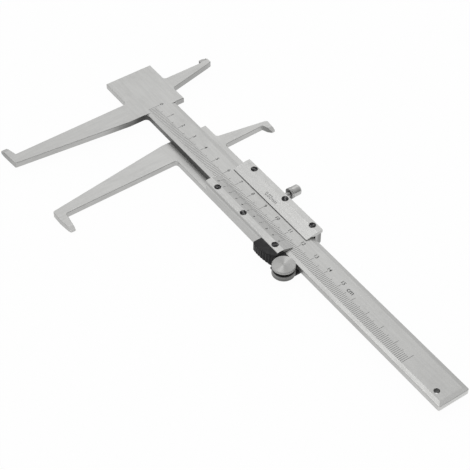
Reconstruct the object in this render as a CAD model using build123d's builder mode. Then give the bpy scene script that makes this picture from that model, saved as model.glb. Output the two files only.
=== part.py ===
from build123d import *
import os

os.makedirs("parts", exist_ok=True)

# Inside groove caliper with two long and two short hooked jaws, in millimetres.
# X runs along the scale towards the free end, Y towards the short jaws, Z away from the slider's back.
# The origin lies on the slider's back face, on the beam's centre line, under the vernier's zero line.

# Setting: the distance over each pair of jaw tips, which the vernier reads
reading = 64.4

# Heights of the layers, from the slider's back face upwards
plate_thickness = 2.9
blade_thickness = 3.3
slide_clearance = 0.06
front_clearance = 0.12
front_thickness = 1.9

# Beam, measured along from its zero line
beam_half_width = 8.4
beam_reach = 227.3
beam_corner_radius = 0.8
border_width = 2.2
border_drop = 0.35
border_edge = 0.2
hole_radius = 1.45
hole_inset = 7.0
hole_offset = -3.7

# Head of the beam, measured from the zero line
head_back = 29.8
head_front = 2.4
head_near = 12.9
head_far = 13.9
head_far_fillet = 1.0
head_near_fillet = 2.2
edge_break = 0.25

# Fixed jaws, measured back from the zero line
fixed_long_tip = 16.8
fixed_long_root = 10.7
fixed_long_corner = 10.1
fixed_long_heel = 4.2
fixed_long_taper_start = 18.5
fixed_short_tip = 18.9
fixed_short_root = 16.1
fixed_short_heel_root = 7.3
fixed_short_heel = 12.9
jaw_root_fillet = 1.6
hook_corner_fillet = 0.5
heel_fillet = 0.8

# Reach of the fixed jaws from the centre line, and the steps back from it at the hooks
long_reach = 81.9
long_land = 3.0
long_corner_step = 1.6
long_heel_step = 1.0
short_reach = 41.8
short_tip_step = 1.9
short_land = 2.3
short_corner_step = 0.9
short_heel_step = 2.8
short_nose_width = 2.4

# Back plate of the slider, measured from the vernier's zero line
plate_left = -41.3
plate_near = 13.2
plate_far = 13.1
front_left = -3.4
front_right = 55.0
far_wall_thickness = 3.3
wall_foot_chamfer = 0.5
wall_clearance = 0.07
gib_gap = 1.0

# Moving jaws, measured from the vernier's zero line
moving_long_front = -32.3
moving_long_root = -27.9
moving_long_corner = -27.5
moving_long_reach = 81.1
moving_long_tip_step = 1.0
moving_long_land = 2.4
moving_long_corner_step = 1.3
moving_long_toe = -25.5
moving_long_fillet = 1.3
moving_short_front_root = -31.4
moving_short_front = -26.8
moving_short_root = -23.7
moving_short_corner = -24.4
moving_short_reach = 40.9
moving_short_tip_step = 0.6
moving_short_land = 1.6
moving_short_corner_step = 2.2
moving_short_heel_step = 1.3

# Bevels ground on both faces of each measuring tip, which leave a narrow contact land
tip_bevel_depth = 0.9
tip_bevel_length = 2.6

# Vernier plate and cover plate
plate_lip = 0.2
vernier_inner = -3.6
vernier_ridge = -8.9
vernier_round = 1.5
vernier_corner = 1.6
cover_inner = 4.0
cover_overhang = 0.8
cover_flat = 3.0

# Plate screws: the outer ones set in from the plates' ends, the middle ones from the vernier's zero line
left_screw_inset = 7.0
right_screw_inset = 5.0
near_screw_middle = 24.8
far_screw_middle = 28.6
near_screw_inset = 2.85
far_screw_inset = 1.9
screw_head_radius = 1.75
screw_shank_radius = 0.97
screw_rim = 0.1
screw_room = 0.03
screw_length = 3.6
long_screw_length = 5.8
near_screw_sink = 0.12
far_screw_sink = 0.3
screw_tip_room = 0.4
screw_slot_width = 0.5
screw_slot_depth = 0.35
screw_slot_angles = (35, -20, 62, 8, -48, 80)

# Gib strip between the beam's far edge and the far wall
gib_thickness = 0.7
gib_height = 2.7
gib_skin = 0.06
gib_end_inset = 2.6
gib_ear_length = 0.6
gib_ear_reach = 0.7
gib_ear_room = 0.12

# Lock screw through the far wall
lock_station = 24.2
lock_shank_radius = 1.2
lock_room = 0.05
lock_tip_gap = 0.03
lock_neck = 4.4
lock_collar_length = 1.5
lock_head_radius = 2.7
lock_collar_step = 0.15
lock_head_length = 6.0
lock_head_chamfer = 0.7
lock_tip_chamfer = 0.3
knurl_count = 24
knurl_depth = 0.2

# Thumb roller, past the right end of the plates
roller_overhang = 6.8
roller_radius = 5.55
roller_rim_gap = 0.1
roller_base = 1.75
roller_height = 5.85
roller_flange = 1.5
roller_groove_width = 1.75
roller_groove_depth = 2.0
roller_edge_break = 0.3
roller_crown = 1.05
dimple_radius = 0.7
dimple_depth = 0.25

# Axle of the roller
axle_radius = 1.2
axle_room = 0.05
axle_end_gap = 0.12
axle_foot_gap = 0.15
axle_tip_chamfer = 0.2

# Thumb grip, measured back from the right end and out from the near side of the vernier plate
grip_length = 12.2
grip_reach = 4.3
grip_bulge_setback = 8.0
grip_bulge = 0.7
grip_shoulder_setback = 0.1
grip_shoulder_step = 1.95
grip_notch = 0.5
grip_top_gap = 0.08
grip_underside_width = 2.6
grip_underside_rise = 2.5
grip_beam_gap = 0.5
grip_plate_gap = 0.1
grip_roller_gap = 0.4
grip_floor = 0.4
grip_edge_break = 0.4
tongue_radius = 3.4
tongue_half_width = 2.6
tongue_roller_gap = 0.16
heel_left = 1.5
heel_right = 3.7
heel_inner = 7.0
serration_count = 8
serration_radius = 0.42

# Leaf spring that presses the roller's axle towards the beam
spring_thickness = 0.25
spring_half_length = 1.9
spring_bow = 0.35
spring_height = 0.65
spring_gap = 0.03
spring_room = 0.12
spring_pocket_height = 0.85
spring_seat = 0.1

# How far a cutting shape runs past the face that it cuts
past = 1.0

# Places worked out from the sizes above
zero_x = -reading
plate_top = plate_thickness
blade_bottom = plate_top + slide_clearance
blade_top = blade_bottom + blade_thickness
wall_top = blade_top + front_clearance
front_top = wall_top + front_thickness
front_length = front_right - front_left
beam_end = zero_x + beam_reach
head_x = zero_x + head_front
long_tip_inner = long_reach - long_land
long_corner_reach = long_tip_inner - long_corner_step
short_tip_outer = short_reach - short_tip_step
short_tip_inner = short_tip_outer - short_land
short_corner_reach = short_tip_inner - short_corner_step
moving_long_tip_outer = moving_long_reach - moving_long_tip_step
moving_long_tip_inner = moving_long_tip_outer - moving_long_land
moving_long_corner_reach = moving_long_tip_inner - moving_long_corner_step
moving_short_tip_outer = moving_short_reach - moving_short_tip_step
moving_short_tip_inner = moving_short_tip_outer - moving_short_land
moving_short_corner_reach = moving_short_tip_inner - moving_short_corner_step
near_wall_inner = beam_half_width + wall_clearance
far_wall_inner = beam_half_width + gib_gap
far_wall_outer = far_wall_inner + far_wall_thickness
cover_outer = far_wall_outer + cover_overhang
near_screw_row = near_screw_inset - plate_near
far_screw_row = far_wall_inner + far_screw_inset
left_screw_x = front_left + left_screw_inset
right_screw_x = front_right - right_screw_inset
lock_height = blade_bottom + blade_thickness / 2
gib_outer = beam_half_width + gib_skin + gib_thickness
lock_head_start = far_wall_outer + lock_neck
lock_collar_radius = lock_head_radius + lock_collar_step
roller_station = front_right + roller_overhang
roller_y = -(beam_half_width + roller_rim_gap + roller_radius)
roller_top = roller_base + roller_height
roller_bore_top = roller_top - roller_crown
tongue_top = roller_base - tongue_roller_gap
grip_left = front_right - grip_length
grip_outer = plate_near + grip_reach
grip_shoulder_x = front_right - grip_shoulder_setback
grip_shoulder_y = grip_shoulder_step - grip_outer
grip_top = front_top - grip_top_gap
notch_y = grip_notch - plate_near
screw_cone = screw_head_radius - screw_shank_radius


def bevel_tip(tip_x, inward, y_low, y_high, low, high):
    """Grinds the upper and lower face of a hook down towards its tip."""
    with BuildSketch(Plane.XZ.offset(-(y_high + past))) as wedges:
        for face, depth in ((low, tip_bevel_depth), (high, -tip_bevel_depth)):
            with BuildLine():
                Polyline(
                    (tip_x, face),
                    (tip_x + inward * tip_bevel_length, face),
                    (tip_x, face + depth),
                    close=True,
                )
            make_face()
    extrude(wedges.sketch, amount=y_high - y_low + 2 * past, mode=Mode.SUBTRACT)


def turn_screw(screw, mode, room=0, tip_room=0, above=0):
    """Turns a countersunk screw, or the hole for it when room is given round it and at its ends."""
    x, y, head_top, foot = screw
    head = screw_head_radius + room
    shank = screw_shank_radius + room
    with BuildSketch(Plane(origin=(x, y, 0), x_dir=(1, 0, 0), z_dir=(0, -1, 0))) as half:
        with BuildLine():
            Polyline(
                (0, foot - tip_room),
                (shank, foot - tip_room),
                (shank, head_top - screw_rim - screw_cone),
                (head, head_top - screw_rim),
                (head, head_top + above),
                (0, head_top + above),
                close=True,
            )
        make_face()
    revolve(half.sketch, axis=Axis((x, y, 0), (0, 0, 1)), mode=mode)


# Each plate screw: place, top of its head and end of its shank
near_head_top = front_top - near_screw_sink
far_head_top = front_top - far_screw_sink
screws = [
    (left_screw_x, near_screw_row, near_head_top, near_head_top - screw_length),
    (near_screw_middle, near_screw_row, near_head_top, near_head_top - screw_length),
    (right_screw_x, near_screw_row, near_head_top, near_head_top - long_screw_length),
    (left_screw_x, far_screw_row, far_head_top, far_head_top - screw_length),
    (far_screw_middle, far_screw_row, far_head_top, far_head_top - screw_length),
    (right_screw_x, far_screw_row, far_head_top, far_head_top - screw_length),
]

# Beam, head and the two fixed jaws, forged and ground as one piece
with BuildPart() as beam:
    with BuildSketch(Plane.XY.offset(blade_bottom)) as blade:
        with BuildLine():
            Polyline(
                (beam_end, -beam_half_width),
                (beam_end, beam_half_width),
                (head_x, beam_half_width),
                (head_x, head_far),
                (zero_x - fixed_short_heel_root, head_far),
                (zero_x - fixed_short_heel, short_reach - short_heel_step),
                (zero_x - fixed_short_root + short_nose_width, short_reach),
                (zero_x - fixed_short_root - heel_fillet, short_reach),
                (zero_x - fixed_short_tip, short_tip_outer),
                (zero_x - fixed_short_tip, short_tip_inner),
                (zero_x - fixed_short_root, short_corner_reach),
                (zero_x - fixed_short_root, head_far),
                (zero_x - head_back, head_far),
                (zero_x - head_back, -head_near),
                (zero_x - fixed_long_root, -head_near),
                (zero_x - fixed_long_corner, -long_corner_reach),
                (zero_x - fixed_long_tip, -long_tip_inner),
                (zero_x - fixed_long_tip, -long_reach),
                (zero_x - fixed_long_heel, long_heel_step - long_reach),
                (head_x, -fixed_long_taper_start),
                (head_x, -beam_half_width),
                close=True,
            )
        make_face()
        for corner, radius in (
            ((beam_end, -beam_half_width), beam_corner_radius),
            ((beam_end, beam_half_width), beam_corner_radius),
            ((head_x, beam_half_width), head_far_fillet),
            ((head_x, -beam_half_width), head_near_fillet),
            ((zero_x - fixed_short_heel_root, head_far), jaw_root_fillet),
            ((zero_x - fixed_short_root, head_far), jaw_root_fillet),
            ((zero_x - fixed_long_root, -head_near), jaw_root_fillet),
            ((zero_x - fixed_short_heel, short_reach - short_heel_step), heel_fillet),
            ((zero_x - fixed_short_root + short_nose_width, short_reach), heel_fillet),
            ((zero_x - fixed_short_root - heel_fillet, short_reach), heel_fillet),
            ((zero_x - fixed_short_root, short_corner_reach), hook_corner_fillet),
            ((zero_x - fixed_long_corner, -long_corner_reach), hook_corner_fillet),
            ((zero_x - fixed_long_heel, long_heel_step - long_reach), heel_fillet),
        ):
            fillet(blade.vertices().sort_by_distance(Vector(*corner, 0))[0], radius=radius)
    extrude(amount=blade_thickness)
    for face in (beam.faces().sort_by(Axis.Z)[-1], beam.faces().sort_by(Axis.Z)[0]):
        chamfer(face.edges(), length=edge_break)
    with BuildSketch(Plane.YZ.offset(head_x)) as side_borders:
        for side in (-1, 1):
            with BuildLine():
                Polyline(
                    (side * (beam_half_width - border_width), blade_top),
                    (side * (beam_half_width - border_edge), blade_top - border_drop),
                    (side * beam_half_width, blade_top - border_drop - border_edge),
                    (side * (beam_half_width + past), blade_top),
                    close=True,
                )
            make_face()
    extrude(amount=beam_reach, mode=Mode.SUBTRACT)
    with BuildSketch(Plane.XZ) as end_border:
        with BuildLine():
            Polyline(
                (beam_end - border_width, blade_top),
                (beam_end - border_edge, blade_top - border_drop),
                (beam_end, blade_top - border_drop - border_edge),
                (beam_end + past, blade_top),
                close=True,
            )
        make_face()
    extrude(amount=beam_half_width + past, both=True, mode=Mode.SUBTRACT)
    with Locations((beam_end - hole_inset, hole_offset, blade_top)):
        Hole(radius=hole_radius)
    bevel_tip(zero_x - fixed_long_tip, 1, -long_reach, -long_tip_inner, blade_bottom, blade_top)
    bevel_tip(zero_x - fixed_short_tip, 1, short_tip_inner, short_tip_outer, blade_bottom, blade_top)
beam.part.label = "beam"
export_step(beam.part, "parts/beam.step")

# Slider: back plate under the beam, its two side walls and the two moving jaws, one piece
with BuildPart() as slider_frame:
    with BuildSketch() as plate:
        with BuildLine():
            Polyline(
                (plate_left, plate_far),
                (plate_left, -plate_near),
                (moving_long_front, -moving_long_reach),
                (moving_long_toe, -moving_long_reach),
                (-fixed_long_tip, -moving_long_tip_outer),
                (-fixed_long_tip, -moving_long_tip_inner),
                (moving_long_corner, -moving_long_corner_reach),
                (moving_long_root, -plate_near),
                (front_right, -plate_near),
                (front_right, far_wall_outer),
                (front_left, far_wall_outer),
                (front_left, plate_far),
                (moving_short_root, plate_far),
                (moving_short_corner, moving_short_corner_reach),
                (-fixed_short_tip, moving_short_tip_inner),
                (-fixed_short_tip, moving_short_tip_outer),
                (moving_short_front + heel_fillet, moving_short_reach),
                (moving_short_front, moving_short_reach - moving_short_heel_step),
                (moving_short_front_root, plate_far),
                close=True,
            )
        make_face()
        for corner, radius in (
            ((moving_long_front, -moving_long_reach), moving_long_fillet),
            ((moving_long_corner, -moving_long_corner_reach), hook_corner_fillet),
            ((moving_long_root, -plate_near), jaw_root_fillet),
            ((moving_short_root, plate_far), jaw_root_fillet),
            ((moving_short_front_root, plate_far), jaw_root_fillet),
            ((moving_short_corner, moving_short_corner_reach), hook_corner_fillet),
        ):
            fillet(plate.vertices().sort_by_distance(Vector(*corner, 0))[0], radius=radius)
    extrude(amount=plate_thickness)
    chamfer(slider_frame.faces().sort_by(Axis.Z)[-1].edges(), length=edge_break)
    with BuildSketch(Plane.XY.offset(plate_top - edge_break)) as walls:
        with Locations((front_left, -plate_near)):
            Rectangle(
                grip_left - grip_plate_gap - front_left,
                plate_near - near_wall_inner,
                align=(Align.MIN, Align.MIN),
            )
        with Locations((front_left, far_wall_inner)):
            Rectangle(front_length, far_wall_outer - far_wall_inner, align=(Align.MIN, Align.MIN))
        fillet(walls.vertices().sort_by_distance(Vector(front_left, -plate_near, 0))[0], radius=vernier_corner)
    extrude(amount=wall_top - plate_top + edge_break)
    with BuildSketch(Plane.YZ.offset(front_left)) as foot:
        with BuildLine():
            Polyline(
                (far_wall_outer - wall_foot_chamfer, 0),
                (far_wall_outer, wall_foot_chamfer),
                (far_wall_outer, 0),
                close=True,
            )
        make_face()
    extrude(amount=front_length, mode=Mode.SUBTRACT)
    with BuildSketch(Plane.XY.offset(lock_height - gib_height / 2 - gib_ear_room)):
        for ear_x in (front_left + gib_end_inset, front_right - gib_end_inset - gib_ear_length):
            with Locations((ear_x - gib_ear_room, far_wall_inner)):
                Rectangle(
                    gib_ear_length + 2 * gib_ear_room,
                    gib_ear_reach + gib_ear_room,
                    align=(Align.MIN, Align.MIN),
                )
    extrude(amount=wall_top, mode=Mode.SUBTRACT)
    with BuildSketch(Plane.XZ.offset(-far_wall_outer - past)):
        with Locations((lock_station, lock_height)):
            Circle(lock_shank_radius + lock_room)
    extrude(amount=far_wall_outer - far_wall_inner + 2 * past, mode=Mode.SUBTRACT)
    for screw in screws:
        turn_screw(screw, Mode.SUBTRACT, screw_room, screw_tip_room, past)
    bevel_tip(-fixed_long_tip, -1, -moving_long_tip_outer, -moving_long_tip_inner, 0, plate_top)
    bevel_tip(-fixed_short_tip, -1, moving_short_tip_inner, moving_short_tip_outer, 0, plate_top)
slider_frame.part.label = "slider_frame"
export_step(slider_frame.part, "parts/slider_frame.step")

# Vernier plate over the near wall, bevelled down to the scale
with BuildPart() as vernier_plate:
    with BuildSketch(Plane.YZ.offset(front_left)) as profile:
        with BuildLine():
            Polyline(
                (-plate_near, wall_top),
                (-plate_near, front_top),
                (vernier_ridge, front_top),
                (vernier_inner, wall_top + plate_lip),
                (vernier_inner, wall_top),
                close=True,
            )
        make_face()
        outer_corner = profile.vertices().sort_by_distance(Vector(-plate_near, front_top, 0))[0]
        fillet(outer_corner, radius=vernier_round)
    extrude(amount=front_length)
    with BuildSketch(Plane.XY.offset(wall_top)):
        with Locations((front_left, -plate_near)):
            Rectangle(vernier_corner, vernier_corner, align=(Align.MIN, Align.MIN))
        with Locations((front_left + vernier_corner, vernier_corner - plate_near)):
            Circle(vernier_corner, mode=Mode.SUBTRACT)
        with Locations((grip_left - grip_plate_gap, -plate_near)):
            Rectangle(grip_length + grip_plate_gap, grip_notch, align=(Align.MIN, Align.MIN))
    extrude(amount=front_thickness, mode=Mode.SUBTRACT)
    for screw in screws[:3]:
        turn_screw(screw, Mode.SUBTRACT, screw_room, screw_tip_room, past)
vernier_plate.part.label = "vernier_plate"
export_step(vernier_plate.part, "parts/vernier_plate.step")

# Cover plate over the far wall, bevelled down to the scale
with BuildPart() as cover_plate:
    with BuildSketch(Plane.YZ.offset(front_left)):
        with BuildLine():
            Polyline(
                (cover_inner, wall_top),
                (cover_inner, wall_top + plate_lip),
                (cover_outer - cover_flat, front_top),
                (cover_outer, front_top),
                (cover_outer, wall_top),
                close=True,
            )
        make_face()
    extrude(amount=front_length)
    for screw in screws[3:]:
        turn_screw(screw, Mode.SUBTRACT, screw_room, screw_tip_room, past)
cover_plate.part.label = "cover_plate"
export_step(cover_plate.part, "parts/cover_plate.step")

# Six slotted countersunk screws
for number, screw in enumerate(screws, start=1):
    with BuildPart() as plate_screw:
        turn_screw(screw, Mode.ADD)
        with BuildSketch(Plane.XY.offset(screw[2] - screw_slot_depth)):
            with Locations(screw[:2]):
                Rectangle(
                    2 * screw_head_radius + past,
                    screw_slot_width,
                    rotation=screw_slot_angles[number - 1],
                )
        extrude(amount=screw_slot_depth + past, mode=Mode.SUBTRACT)
    plate_screw.part.label = f"plate_screw_{number}"
    export_step(plate_screw.part, f"parts/plate_screw_{number}.step")

# Gib strip with an ear bent into the wall at each end
with BuildPart() as gib_strip:
    gib_left = front_left + gib_end_inset
    gib_right = front_right - gib_end_inset
    with BuildSketch(Plane.XY.offset(lock_height - gib_height / 2)):
        with Locations((gib_left, gib_outer - gib_thickness)):
            Rectangle(gib_right - gib_left, gib_thickness, align=(Align.MIN, Align.MIN))
        ear_depth = far_wall_inner + gib_ear_reach - gib_outer + gib_thickness
        for ear_x in (gib_left, gib_right - gib_ear_length):
            with Locations((ear_x, gib_outer - gib_thickness)):
                Rectangle(gib_ear_length, ear_depth, align=(Align.MIN, Align.MIN))
    extrude(amount=gib_height)
gib_strip.part.label = "gib_strip"
export_step(gib_strip.part, "parts/gib_strip.step")

# Lock screw with a knurled collar and a smooth head
with BuildPart() as lock_screw:
    lock_tip = gib_outer + lock_tip_gap
    lock_head_end = lock_head_start + lock_head_length
    collar_end = lock_head_start + lock_collar_length
    with BuildSketch(Plane.XY.offset(lock_height)):
        with BuildLine():
            Polyline(
                (lock_station, lock_tip),
                (lock_station + lock_shank_radius - lock_tip_chamfer, lock_tip),
                (lock_station + lock_shank_radius, lock_tip + lock_tip_chamfer),
                (lock_station + lock_shank_radius, lock_head_start),
                (lock_station + lock_collar_radius, lock_head_start),
                (lock_station + lock_collar_radius, collar_end),
                (lock_station + lock_head_radius, collar_end),
                (lock_station + lock_head_radius, lock_head_end - lock_head_chamfer),
                (lock_station + lock_head_radius - lock_head_chamfer, lock_head_end),
                (lock_station, lock_head_end),
                close=True,
            )
        make_face()
    revolve(axis=Axis((lock_station, 0, lock_height), (0, 1, 0)))
    with BuildSketch(Plane.XZ.offset(-collar_end)):
        with Locations((lock_station, lock_height)):
            with PolarLocations(radius=lock_collar_radius, count=knurl_count):
                RegularPolygon(radius=knurl_depth, side_count=4)
    extrude(amount=lock_collar_length, mode=Mode.SUBTRACT)
lock_screw.part.label = "lock_screw"
export_step(lock_screw.part, "parts/lock_screw.step")

# Thumb roller, turned with a groove, that runs along the beam's near edge
with BuildPart() as thumb_roller:
    groove_top = roller_top - roller_flange
    groove_low = groove_top - roller_groove_width
    groove_core = roller_radius - roller_groove_depth
    bore_radius = axle_radius + axle_room
    with BuildSketch(Plane(origin=(roller_station, roller_y, 0), x_dir=(1, 0, 0), z_dir=(0, -1, 0))) as half:
        with BuildLine():
            Polyline(
                (bore_radius, roller_base),
                (roller_radius, roller_base),
                (roller_radius, groove_low),
                (groove_core, groove_low),
                (groove_core, groove_top),
                (roller_radius, groove_top),
                (roller_radius, roller_top),
                (dimple_radius, roller_top),
                (0, roller_top - dimple_depth),
                (0, roller_bore_top),
                (bore_radius, roller_bore_top),
                close=True,
            )
        make_face()
        rim_heights = (roller_base, groove_low, groove_top, roller_top)
        for height in rim_heights:
            rim = half.vertices().sort_by_distance(Vector(roller_radius, height, 0))[0]
            chamfer(rim, length=roller_edge_break)
    revolve(axis=Axis((roller_station, roller_y, 0), (0, 0, 1)))
thumb_roller.part.label = "thumb_roller"
export_step(thumb_roller.part, "parts/thumb_roller.step")

# Axle pin that stands in the grip's tongue
with BuildPart() as roller_axle:
    axle_low = grip_floor + axle_foot_gap
    with BuildSketch(Plane.XY.offset(axle_low)):
        with Locations((roller_station, roller_y)):
            Circle(axle_radius)
    extrude(amount=roller_bore_top - axle_end_gap - axle_low)
    chamfer(roller_axle.faces().filter_by(Axis.Z).edges(), length=axle_tip_chamfer)
roller_axle.part.label = "roller_axle"
export_step(roller_axle.part, "parts/roller_axle.step")

# Moulded thumb grip, clamped under the vernier plate, with a tongue under the roller and the beam
spring_y = roller_y - axle_radius - spring_gap - spring_bow - spring_thickness
with BuildPart() as thumb_grip:
    beam_side = -(beam_half_width + grip_beam_gap)
    with BuildSketch(Plane.XY.offset(grip_floor)) as outline:
        with BuildLine():
            thumb_edge = ThreePointArc(
                (grip_left, -grip_outer),
                (front_right - grip_bulge_setback, -grip_outer - grip_bulge),
                (grip_shoulder_x, grip_shoulder_y),
            )
            Polyline(
                (grip_shoulder_x, grip_shoulder_y),
                (roller_station - roller_radius, roller_y),
                (roller_station, beam_side),
                (grip_left, beam_side),
                (grip_left, -grip_outer),
            )
        make_face()
        with Locations((roller_station, roller_y)):
            Circle(roller_radius + grip_roller_gap, mode=Mode.SUBTRACT)
    extrude(amount=grip_top - grip_floor)
    outer_edges = thumb_grip.faces().sort_by(Axis.Z)[-1].edges().filter_by(GeomType.CIRCLE)
    chamfer(outer_edges.sort_by(Axis.Y)[0], length=grip_edge_break)
    with BuildSketch(Plane.XY.offset(wall_top)):
        with Locations((grip_left, notch_y - grip_plate_gap)):
            Rectangle(roller_station - grip_left, plate_near, align=(Align.MIN, Align.MIN))
    extrude(amount=front_thickness, mode=Mode.SUBTRACT)
    with BuildSketch(Plane.YZ.offset(grip_left)):
        with BuildLine():
            Polyline(
                (grip_underside_width - grip_outer, grip_floor),
                (-grip_outer - grip_underside_width, grip_floor + 2 * grip_underside_rise),
                (-grip_outer - grip_underside_width, grip_floor),
                close=True,
            )
        make_face()
    extrude(amount=grip_length, mode=Mode.SUBTRACT)
    with BuildSketch(Plane.XY.offset(grip_floor)):
        with Locations((grip_left, -(plate_near + grip_plate_gap))):
            Rectangle(
                front_right + grip_plate_gap - grip_left,
                plate_near + grip_plate_gap,
                align=(Align.MIN, Align.MIN),
            )
    extrude(amount=plate_top - grip_floor, mode=Mode.SUBTRACT)
    with BuildSketch(Plane.XY.offset(grip_floor)):
        with Locations((front_right + 2 * grip_plate_gap, roller_y - tongue_half_width)):
            Rectangle(
                roller_station - front_right - 2 * grip_plate_gap,
                2 * tongue_half_width,
                align=(Align.MIN, Align.MIN),
            )
        with Locations((roller_station - heel_left, roller_y)):
            Rectangle(heel_left + heel_right, -heel_inner - roller_y, align=(Align.MIN, Align.MIN))
        with Locations((roller_station, roller_y)):
            Circle(tongue_radius)
    extrude(amount=tongue_top - grip_floor)
    with BuildSketch(Plane.XY.offset(grip_floor)):
        with Locations((roller_station, roller_y)):
            Circle(axle_radius + axle_room)
    extrude(amount=tongue_top, mode=Mode.SUBTRACT)
    with BuildSketch(Plane.XY.offset(grip_floor)):
        with Locations((roller_station - spring_half_length - spring_room, spring_y - spring_room)):
            Rectangle(
                2 * (spring_half_length + spring_room),
                roller_y - spring_y + spring_room,
                align=(Align.MIN, Align.MIN),
            )
    extrude(amount=spring_pocket_height, mode=Mode.SUBTRACT)
    with BuildSketch(Plane.XY.offset(grip_floor)):
        with Locations(*[thumb_edge @ ((step + 0.5) / serration_count) for step in range(serration_count)]):
            Circle(serration_radius)
    extrude(amount=front_top, mode=Mode.SUBTRACT)
    turn_screw(screws[2], Mode.SUBTRACT, screw_room, screw_tip_room, past)
thumb_grip.part.label = "thumb_grip"
export_step(thumb_grip.part, "parts/thumb_grip.step")

# Bowed leaf spring in the tongue's pocket, behind the axle
with BuildPart() as roller_spring:
    with BuildSketch(Plane.XY.offset(grip_floor + spring_seat)):
        with BuildLine():
            ThreePointArc(
                (roller_station - spring_half_length, spring_y),
                (roller_station, spring_y + spring_bow),
                (roller_station + spring_half_length, spring_y),
            )
            Line(
                (roller_station + spring_half_length, spring_y),
                (roller_station + spring_half_length, spring_y + spring_thickness),
            )
            ThreePointArc(
                (roller_station + spring_half_length, spring_y + spring_thickness),
                (roller_station, spring_y + spring_bow + spring_thickness),
                (roller_station - spring_half_length, spring_y + spring_thickness),
            )
            Line(
                (roller_station - spring_half_length, spring_y + spring_thickness),
                (roller_station - spring_half_length, spring_y),
            )
        make_face()
    extrude(amount=spring_height)
roller_spring.part.label = "roller_spring"
export_step(roller_spring.part, "parts/roller_spring.step")
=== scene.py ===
import logging
import math
from dataclasses import dataclass, field
from enum import Enum
from functools import cached_property

import bpy
import numpy as np
from mathutils import Matrix, Vector


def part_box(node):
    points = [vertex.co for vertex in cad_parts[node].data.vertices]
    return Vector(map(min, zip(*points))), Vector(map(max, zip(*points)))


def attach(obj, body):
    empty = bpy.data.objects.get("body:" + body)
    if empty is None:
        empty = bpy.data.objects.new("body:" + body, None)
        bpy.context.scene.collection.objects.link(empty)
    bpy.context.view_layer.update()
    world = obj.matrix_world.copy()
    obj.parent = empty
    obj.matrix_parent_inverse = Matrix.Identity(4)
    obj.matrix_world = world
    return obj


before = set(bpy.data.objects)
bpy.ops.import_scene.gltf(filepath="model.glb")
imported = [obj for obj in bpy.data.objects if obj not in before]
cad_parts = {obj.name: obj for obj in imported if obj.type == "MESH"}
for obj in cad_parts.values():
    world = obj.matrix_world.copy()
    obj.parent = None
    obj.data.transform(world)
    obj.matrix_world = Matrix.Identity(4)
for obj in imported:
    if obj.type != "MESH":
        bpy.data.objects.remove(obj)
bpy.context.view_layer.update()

log = logging.getLogger("groove_caliper")

MM = 0.001

Triple = tuple[float, float, float]
Socket = bpy.types.NodeSocket

EVERY_WAY: Triple = (0.0, 0.0, 0.0)


class GrainRun(Enum):
    """The way that a finish's fine lines run over a piece."""

    LENGTHWISE = "lengthwise"
    ALONG_JAWS = "along_jaws"


class TurningAxis(Enum):
    """The axis that a turned piece's rings run round, as its tangents name it."""

    Y = "Y"
    Z = "Z"


def toned(colour: Triple, tone: float) -> Triple:
    """A colour whose three parts are multiplied by a tone."""
    return tuple(part * tone for part in colour)


def direction(azimuth: float, elevation: float) -> Vector:
    """The unit vector at an azimuth from +X towards +Y and an elevation above the table, in degrees."""
    turn, rise = math.radians(azimuth), math.radians(elevation)
    return Vector((math.cos(turn) * math.cos(rise), math.sin(turn) * math.cos(rise), math.sin(rise)))


def dress_node(name: str, finish: bpy.types.Material) -> None:
    """Gives a node of the part its finish.

    Args:
        name: the node's name.
        finish: the material.
    """
    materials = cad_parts[name].data.materials
    materials.clear()
    materials.append(finish)
    log.info("node %s: finish %s", name, finish.name)


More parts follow.
